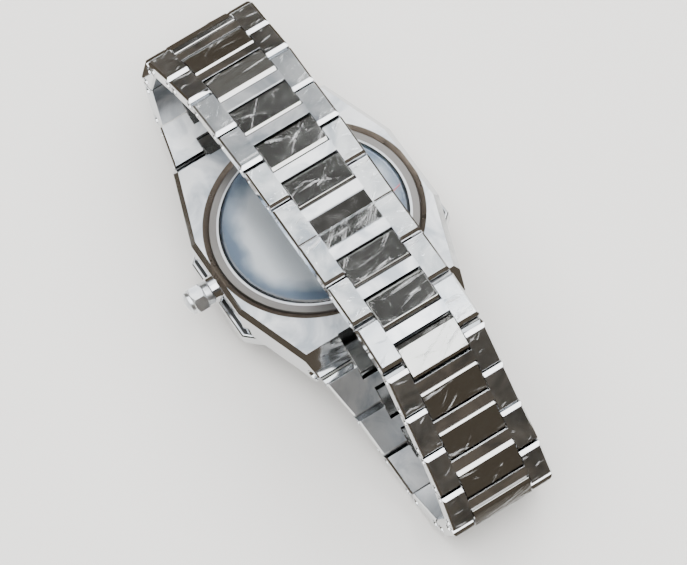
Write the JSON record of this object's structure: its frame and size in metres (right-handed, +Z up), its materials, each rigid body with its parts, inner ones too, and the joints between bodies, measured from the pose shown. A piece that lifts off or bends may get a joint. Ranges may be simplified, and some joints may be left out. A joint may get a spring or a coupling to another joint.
{
  "type": "wristwatch",
  "caption": "Steel wristwatch lying face down, its tapered H-link bracelet closed by a hidden folding clasp.",
  "frame": {"origin": "centre of the bounding box at the height of the surface that the watch rests on", "axes": "+X from the case towards the crown at 3 o'clock, +Y towards the 6 o'clock end of the bracelet, +Z up; the watch lies face down, so the case back looks up"},
  "size_m": [0.0482, 0.1012, 0.0451],
  "materials": {
    "brushed_steel": "fine brushed, polished bevels",
    "polished_steel": "polished",
    "case_back_steel": "satin steel under a blue protective film",
    "rubber": "matt",
    "crystal": "clear, flat",
    "dial": "dark blue, satin",
    "hands": "polished",
    "movement": "gilt plates"
  },
  "bodies": {
    "case": {"case_middle": "brushed_steel", "bezel": "brushed_steel", "bezel_gasket": "rubber", "crystal": "crystal", "case_back": "case_back_steel", "back_gasket": "rubber", "dial": "dial", "hour_markers": "hands", "movement": "movement", "lug_bars": "polished_steel"},
    "hour_hand": {"hour_hand": "hands"},
    "minute_hand": {"minute_hand": "hands"},
    "second_hand": {"second_hand": "hands"},
    "stem": {"winding_stem": "polished_steel"},
    "crown": {"crown": "polished_steel"},
    "centre_link_12_1": {"centre_link_12_1": "brushed_steel"},
    "h_link_12_1": {"h_link_12_1": "brushed_steel"},
    "centre_link_12_2": {"centre_link_12_2": "brushed_steel"},
    "h_link_12_2": {"h_link_12_2": "brushed_steel"},
    "centre_link_12_3": {"centre_link_12_3": "brushed_steel"},
    "h_link_12_3": {"h_link_12_3": "brushed_steel"},
    "centre_link_12_4": {"centre_link_12_4": "brushed_steel"},
    "h_link_12_4": {"h_link_12_4": "brushed_steel"},
    "centre_link_12_5": {"centre_link_12_5": "brushed_steel"},
    "h_link_12_5": {"h_link_12_5": "brushed_steel"},
    "centre_link_12_6": {"centre_link_12_6": "brushed_steel"},
    "h_link_12_6": {"h_link_12_6": "brushed_steel"},
    "centre_link_12_7": {"centre_link_12_7": "brushed_steel"},
    "h_link_12_7": {"h_link_12_7": "brushed_steel"},
    "centre_link_12_8": {"centre_link_12_8": "brushed_steel"},
    "h_link_12_8": {"h_link_12_8": "brushed_steel"},
    "centre_link_12_9": {"centre_link_12_9": "brushed_steel"},
    "end_link_12": {"end_link_12": "brushed_steel"},
    "centre_link_6_1": {"centre_link_6_1": "brushed_steel"},
    "h_link_6_1": {"h_link_6_1": "brushed_steel"},
    "centre_link_6_2": {"centre_link_6_2": "brushed_steel"},
    "h_link_6_2": {"h_link_6_2": "brushed_steel"},
    "centre_link_6_3": {"centre_link_6_3": "brushed_steel"},
    "h_link_6_3": {"h_link_6_3": "brushed_steel"},
    "centre_link_6_4": {"centre_link_6_4": "brushed_steel"},
    "h_link_6_4": {"h_link_6_4": "brushed_steel"},
    "centre_link_6_5": {"centre_link_6_5": "brushed_steel"},
    "h_link_6_5": {"h_link_6_5": "brushed_steel"},
    "centre_link_6_6": {"centre_link_6_6": "brushed_steel"},
    "h_link_6_6": {"h_link_6_6": "brushed_steel"},
    "centre_link_6_7": {"centre_link_6_7": "brushed_steel"},
    "h_link_6_7": {"h_link_6_7": "brushed_steel"},
    "centre_link_6_8": {"centre_link_6_8": "brushed_steel"},
    "h_link_6_8": {"h_link_6_8": "brushed_steel"},
    "centre_link_6_9": {"centre_link_6_9": "brushed_steel"},
    "h_link_6_9": {"h_link_6_9": "brushed_steel"},
    "centre_link_6_10": {"centre_link_6_10": "brushed_steel"},
    "h_link_6_10": {"h_link_6_10": "brushed_steel"},
    "centre_link_6_11": {"centre_link_6_11": "brushed_steel"},
    "h_link_6_11": {"h_link_6_11": "brushed_steel"},
    "centre_link_6_12": {"centre_link_6_12": "brushed_steel"},
    "end_link_6": {"end_link_6": "brushed_steel"},
    "clasp_blade_12": {"clasp_blade_12": "brushed_steel"},
    "clasp_blade_6": {"clasp_blade_6": "brushed_steel"},
    "clasp_plate": {"clasp_plate": "brushed_steel"}
  },
  "joints": [
    {"name": "bracelet_fold", "type": "hinge", "parent": "case", "child": "centre_link_6_1", "pos_m": [-0.00275, 0.01377, 0.01493], "axis": [1, 0, 0], "range_deg": [0, 23.73]},
    {"name": "pin_6_2", "type": "hinge", "parent": "centre_link_6_1", "child": "h_link_6_1", "pos_m": [-0.00275, 0.01642, 0.01438], "axis": [1, 0, 0], "range_deg": [0, 25]},
    {"name": "pin_6_3", "type": "hinge", "parent": "h_link_6_1", "child": "centre_link_6_2", "pos_m": [-0.00275, 0.02138, 0.01067], "axis": [1, 0, 0], "range_deg": [0, 10]},
    {"name": "pin_6_4", "type": "hinge", "parent": "centre_link_6_2", "child": "h_link_6_2", "pos_m": [-0.00275, 0.02355, 0.00905], "axis": [1, 0, 0], "range_deg": [0, 10]},
    {"name": "pin_6_5", "type": "hinge", "parent": "h_link_6_2", "child": "centre_link_6_3", "pos_m": [-0.00275, 0.02852, 0.00534], "axis": [1, 0, 0], "range_deg": [0, 10]},
    {"name": "pin_6_6", "type": "hinge", "parent": "centre_link_6_3", "child": "h_link_6_3", "pos_m": [-0.00275, 0.03088, 0.00405], "axis": [1, 0, 0], "range_deg": [0, 10]},
    {"name": "pin_6_7", "type": "hinge", "parent": "h_link_6_3", "child": "centre_link_6_4", "pos_m": [-0.00275, 0.03668, 0.00185], "axis": [1, 0, 0], "range_deg": [-23, 0]},
    {"name": "pin_6_8", "type": "hinge", "parent": "centre_link_6_4", "child": "h_link_6_4", "pos_m": [-0.00275, 0.03938, 0.00196], "axis": [1, 0, 0], "range_deg": [-23, 0]},
    {"name": "pin_6_9", "type": "hinge", "parent": "h_link_6_4", "child": "centre_link_6_5", "pos_m": [-0.00275, 0.04499, 0.0046], "axis": [1, 0, 0], "range_deg": [-23, 0]},
    {"name": "pin_6_10", "type": "hinge", "parent": "centre_link_6_5", "child": "h_link_6_5", "pos_m": [-0.00275, 0.04678, 0.00661], "axis": [1, 0, 0], "range_deg": [-23, 0]},
    {"name": "pin_6_11", "type": "hinge", "parent": "h_link_6_5", "child": "centre_link_6_6", "pos_m": [-0.00275, 0.04878, 0.01249], "axis": [1, 0, 0], "range_deg": [-23, 0]},
    {"name": "pin_6_12", "type": "hinge", "parent": "centre_link_6_6", "child": "h_link_6_6", "pos_m": [-0.00275, 0.04858, 0.01518], "axis": [1, 0, 0], "range_deg": [-23, 0]},
    {"name": "pin_6_13", "type": "hinge", "parent": "h_link_6_6", "child": "centre_link_6_7", "pos_m": [-0.00275, 0.04574, 0.02069], "axis": [1, 0, 0], "range_deg": [0, 10]},
    {"name": "pin_6_14", "type": "hinge", "parent": "centre_link_6_7", "child": "h_link_6_7", "pos_m": [-0.00275, 0.04426, 0.02295], "axis": [1, 0, 0], "range_deg": [0, 10]},
    {"name": "pin_6_15", "type": "hinge", "parent": "h_link_6_7", "child": "centre_link_6_8", "pos_m": [-0.00275, 0.04033, 0.02775], "axis": [1, 0, 0], "range_deg": [0, 10]},
    {"name": "pin_6_16", "type": "hinge", "parent": "centre_link_6_8", "child": "h_link_6_8", "pos_m": [-0.00275, 0.03863, 0.02984], "axis": [1, 0, 0], "range_deg": [0, 10]},
    {"name": "pin_6_17", "type": "hinge", "parent": "h_link_6_8", "child": "centre_link_6_9", "pos_m": [-0.00275, 0.0347, 0.03464], "axis": [1, 0, 0], "range_deg": [0, 10]},
    {"name": "pin_6_18", "type": "hinge", "parent": "centre_link_6_9", "child": "h_link_6_9", "pos_m": [-0.00275, 0.033, 0.03673], "axis": [1, 0, 0], "range_deg": [0, 10]},
    {"name": "pin_6_19", "type": "hinge", "parent": "h_link_6_9", "child": "centre_link_6_10", "pos_m": [-0.00275, 0.02907, 0.04153], "axis": [1, 0, 0], "range_deg": [-23, 0]},
    {"name": "pin_6_20", "type": "hinge", "parent": "centre_link_6_10", "child": "h_link_6_10", "pos_m": [-0.00275, 0.02668, 0.04279], "axis": [1, 0, 0], "range_deg": [-23, 0]},
    {"name": "pin_6_21", "type": "hinge", "parent": "h_link_6_10", "child": "centre_link_6_11", "pos_m": [-0.00275, 0.0205, 0.0433], "axis": [1, 0, 0], "range_deg": [0, 10]},
    {"name": "pin_6_22", "type": "hinge", "parent": "centre_link_6_11", "child": "h_link_6_11", "pos_m": [-0.00275, 0.01781, 0.0432], "axis": [1, 0, 0], "range_deg": [0, 10]},
    {"name": "pin_6_23", "type": "hinge", "parent": "h_link_6_11", "child": "centre_link_6_12", "pos_m": [-0.00275, 0.01169, 0.0422], "axis": [1, 0, 0], "range_deg": [0, 10]},
    {"name": "pin_6_24", "type": "hinge", "parent": "centre_link_6_12", "child": "end_link_6", "pos_m": [-0.00275, 0.00902, 0.04177], "axis": [1, 0, 0], "range_deg": [0, 10]},
    {"name": "pin_12_1", "type": "hinge", "parent": "case", "child": "centre_link_12_1", "pos_m": [-0.00275, -0.03318, 0.00496], "axis": [-1, 0, 0], "range_deg": [0, 10]},
    {"name": "pin_12_2", "type": "hinge", "parent": "centre_link_12_1", "child": "h_link_12_1", "pos_m": [-0.00275, -0.03583, 0.00443], "axis": [-1, 0, 0], "range_deg": [-19, 0]},
    {"name": "pin_12_3", "type": "hinge", "parent": "h_link_12_1", "child": "centre_link_12_2", "pos_m": [-0.00275, -0.04197, 0.00525], "axis": [-1, 0, 0], "range_deg": [-23, 0]},
    {"name": "pin_12_4", "type": "hinge", "parent": "centre_link_12_2", "child": "h_link_12_2", "pos_m": [-0.00275, -0.0443, 0.00663], "axis": [-1, 0, 0], "range_deg": [-23, 0]},
    {"name": "pin_12_5", "type": "hinge", "parent": "h_link_12_2", "child": "centre_link_12_3", "pos_m": [-0.00275, -0.04797, 0.01162], "axis": [-1, 0, 0], "range_deg": [-22.11, 0]},
    {"name": "pin_12_6", "type": "hinge", "parent": "centre_link_12_3", "child": "h_link_12_3", "pos_m": [-0.00275, -0.04864, 0.01424], "axis": [-1, 0, 0], "range_deg": [-23, 0]},
    {"name": "pin_12_7", "type": "hinge", "parent": "h_link_12_3", "child": "centre_link_12_4", "pos_m": [-0.00275, -0.04769, 0.02037], "axis": [-1, 0, 0], "range_deg": [-22, 0]},
    {"name": "pin_12_8", "type": "hinge", "parent": "centre_link_12_4", "child": "h_link_12_4", "pos_m": [-0.00275, -0.04631, 0.02269], "axis": [-1, 0, 0], "range_deg": [-22, 0]},
    {"name": "pin_12_9", "type": "hinge", "parent": "h_link_12_4", "child": "centre_link_12_5", "pos_m": [-0.00275, -0.04138, 0.02644], "axis": [-1, 0, 0], "range_deg": [0, 10]},
    {"name": "pin_12_10", "type": "hinge", "parent": "centre_link_12_5", "child": "h_link_12_5", "pos_m": [-0.00275, -0.0392, 0.02804], "axis": [-1, 0, 0], "range_deg": [0, 10]},
    {"name": "pin_12_11", "type": "hinge", "parent": "h_link_12_5", "child": "centre_link_12_6", "pos_m": [-0.00275, -0.03414, 0.03162], "axis": [-1, 0, 0], "range_deg": [0, 10]},
    {"name": "pin_12_12", "type": "hinge", "parent": "centre_link_12_6", "child": "h_link_12_6", "pos_m": [-0.00275, -0.03171, 0.03281], "axis": [-1, 0, 0], "range_deg": [0, 10]},
    {"name": "pin_12_13", "type": "hinge", "parent": "h_link_12_6", "child": "centre_link_12_7", "pos_m": [-0.00275, -0.02579, 0.03465], "axis": [-1, 0, 0], "range_deg": [0, 10]},
    {"name": "pin_12_14", "type": "hinge", "parent": "centre_link_12_7", "child": "h_link_12_7", "pos_m": [-0.00275, -0.02322, 0.03545], "axis": [-1, 0, 0], "range_deg": [0, 10]},
    {"name": "pin_12_15", "type": "hinge", "parent": "h_link_12_7", "child": "centre_link_12_8", "pos_m": [-0.00275, -0.01729, 0.03729], "axis": [-1, 0, 0], "range_deg": [0, 10]},
    {"name": "pin_12_16", "type": "hinge", "parent": "centre_link_12_8", "child": "h_link_12_8", "pos_m": [-0.00275, -0.01467, 0.03791], "axis": [-1, 0, 0], "range_deg": [0, 10]},
    {"name": "pin_12_17", "type": "hinge", "parent": "h_link_12_8", "child": "centre_link_12_9", "pos_m": [-0.00275, -0.00855, 0.03891], "axis": [-1, 0, 0], "range_deg": [0, 10]},
    {"name": "pin_12_18", "type": "hinge", "parent": "centre_link_12_9", "child": "end_link_12", "pos_m": [-0.00275, -0.00588, 0.03934], "axis": [-1, 0, 0], "range_deg": [0, 10]},
    {"name": "blade_12_tip", "type": "hinge", "parent": "end_link_12", "child": "clasp_blade_12", "pos_m": [-0.00275, 0.00005, 0.03777], "axis": [1, 0, 0], "range_deg": [0, 33]},
    {"name": "blade_6_tip", "type": "hinge", "parent": "end_link_6", "child": "clasp_blade_6", "pos_m": [-0.00275, 0.0039, 0.0384], "axis": [-1, 0, 0], "range_deg": [0, 55]},
    {"name": "clasp_plate_hinge", "type": "hinge", "parent": "clasp_blade_6", "child": "clasp_plate", "pos_m": [-0.00275, 0.01596, 0.0393], "axis": [1, 0, 0], "range_deg": [0, 110]},
    {"name": "crown_pull", "type": "slide", "parent": "case", "child": "stem", "axis": [1, 0, 0], "range_m": [0, 0.001]},
    {"name": "crown_turn", "type": "hinge", "parent": "stem", "child": "crown", "pos_m": [0.02015, -0.00997, 0.01122], "axis": [1, 0, 0], "continuous": true},
    {"name": "minute_turn", "type": "hinge", "parent": "case", "child": "minute_hand", "pos_m": [-0.00275, -0.009, 0.00662], "axis": [0, 0.2076, -0.9782], "continuous": true},
    {"name": "hour_turn", "type": "hinge", "parent": "case", "child": "hour_hand", "pos_m": [-0.00275, -0.0091, 0.00711], "axis": [0, 0.2076, -0.9782], "continuous": true},
    {"name": "second_turn", "type": "hinge", "parent": "case", "child": "second_hand", "pos_m": [-0.00275, -0.00889, 0.00613], "axis": [0, 0.2076, -0.9782], "continuous": true}
  ],
  "couplings": [
    {"joint": "pin_6_2", "follows": "bracelet_fold", "ratio": 1.0534},
    {"joint": "pin_6_3", "follows": "bracelet_fold", "ratio": 0.42135},
    {"joint": "pin_6_4", "follows": "bracelet_fold", "ratio": 0.42135},
    {"joint": "pin_6_5", "follows": "bracelet_fold", "ratio": 0.42135},
    {"joint": "pin_6_6", "follows": "bracelet_fold", "ratio": 0.42135},
    {"joint": "pin_6_7", "follows": "bracelet_fold", "ratio": -0.96911},
    {"joint": "pin_6_8", "follows": "bracelet_fold", "ratio": -0.96911},
    {"joint": "pin_6_9", "follows": "bracelet_fold", "ratio": -0.96911},
    {"joint": "pin_6_10", "follows": "bracelet_fold", "ratio": -0.96911},
    {"joint": "pin_6_11", "follows": "bracelet_fold", "ratio": -0.96911},
    {"joint": "pin_6_12", "follows": "bracelet_fold", "ratio": -0.96911},
    {"joint": "pin_6_13", "follows": "bracelet_fold", "ratio": 0.42135},
    {"joint": "pin_6_14", "follows": "bracelet_fold", "ratio": 0.42135},
    {"joint": "pin_6_15", "follows": "bracelet_fold", "ratio": 0.42135},
    {"joint": "pin_6_16", "follows": "bracelet_fold", "ratio": 0.42135},
    {"joint": "pin_6_17", "follows": "bracelet_fold", "ratio": 0.42135},
    {"joint": "pin_6_18", "follows": "bracelet_fold", "ratio": 0.42135},
    {"joint": "pin_6_19", "follows": "bracelet_fold", "ratio": -0.96911},
    {"joint": "pin_6_20", "follows": "bracelet_fold", "ratio": -0.96911},
    {"joint": "pin_6_21", "follows": "bracelet_fold", "ratio": 0.42135},
    {"joint": "pin_6_22", "follows": "bracelet_fold", "ratio": 0.42135},
    {"joint": "pin_6_23", "follows": "bracelet_fold", "ratio": 0.42135},
    {"joint": "pin_6_24", "follows": "bracelet_fold", "ratio": 0.42135},
    {"joint": "pin_12_1", "follows": "bracelet_fold", "ratio": 0.42135},
    {"joint": "pin_12_2", "follows": "bracelet_fold", "ratio": -0.80057},
    {"joint": "pin_12_3", "follows": "bracelet_fold", "ratio": -0.96911},
    {"joint": "pin_12_4", "follows": "bracelet_fold", "ratio": -0.96911},
    {"joint": "pin_12_5", "follows": "bracelet_fold", "ratio": -0.93137},
    {"joint": "pin_12_6", "follows": "bracelet_fold", "ratio": -0.96911},
    {"joint": "pin_12_7", "follows": "bracelet_fold", "ratio": -0.92698},
    {"joint": "pin_12_8", "follows": "bracelet_fold", "ratio": -0.92698},
    {"joint": "pin_12_9", "follows": "bracelet_fold", "ratio": 0.42135},
    {"joint": "pin_12_10", "follows": "bracelet_fold", "ratio": 0.42135},
    {"joint": "pin_12_11", "follows": "bracelet_fold", "ratio": 0.42135},
    {"joint": "pin_12_12", "follows": "bracelet_fold", "ratio": 0.42135},
    {"joint": "pin_12_13", "follows": "bracelet_fold", "ratio": 0.42135},
    {"joint": "pin_12_14", "follows": "bracelet_fold", "ratio": 0.42135},
    {"joint": "pin_12_15", "follows": "bracelet_fold", "ratio": 0.42135},
    {"joint": "pin_12_16", "follows": "bracelet_fold", "ratio": 0.42135},
    {"joint": "pin_12_17", "follows": "bracelet_fold", "ratio": 0.42135},
    {"joint": "pin_12_18", "follows": "bracelet_fold", "ratio": 0.42135},
    {"joint": "blade_12_tip", "follows": "bracelet_fold", "ratio": 1.3905},
    {"joint": "blade_6_tip", "follows": "bracelet_fold", "ratio": 2.3174},
    {"joint": "clasp_plate_hinge", "follows": "bracelet_fold", "ratio": 4.6349},
    {"joint": "hour_turn", "follows": "minute_turn", "ratio": 0.083333}
  ]
}
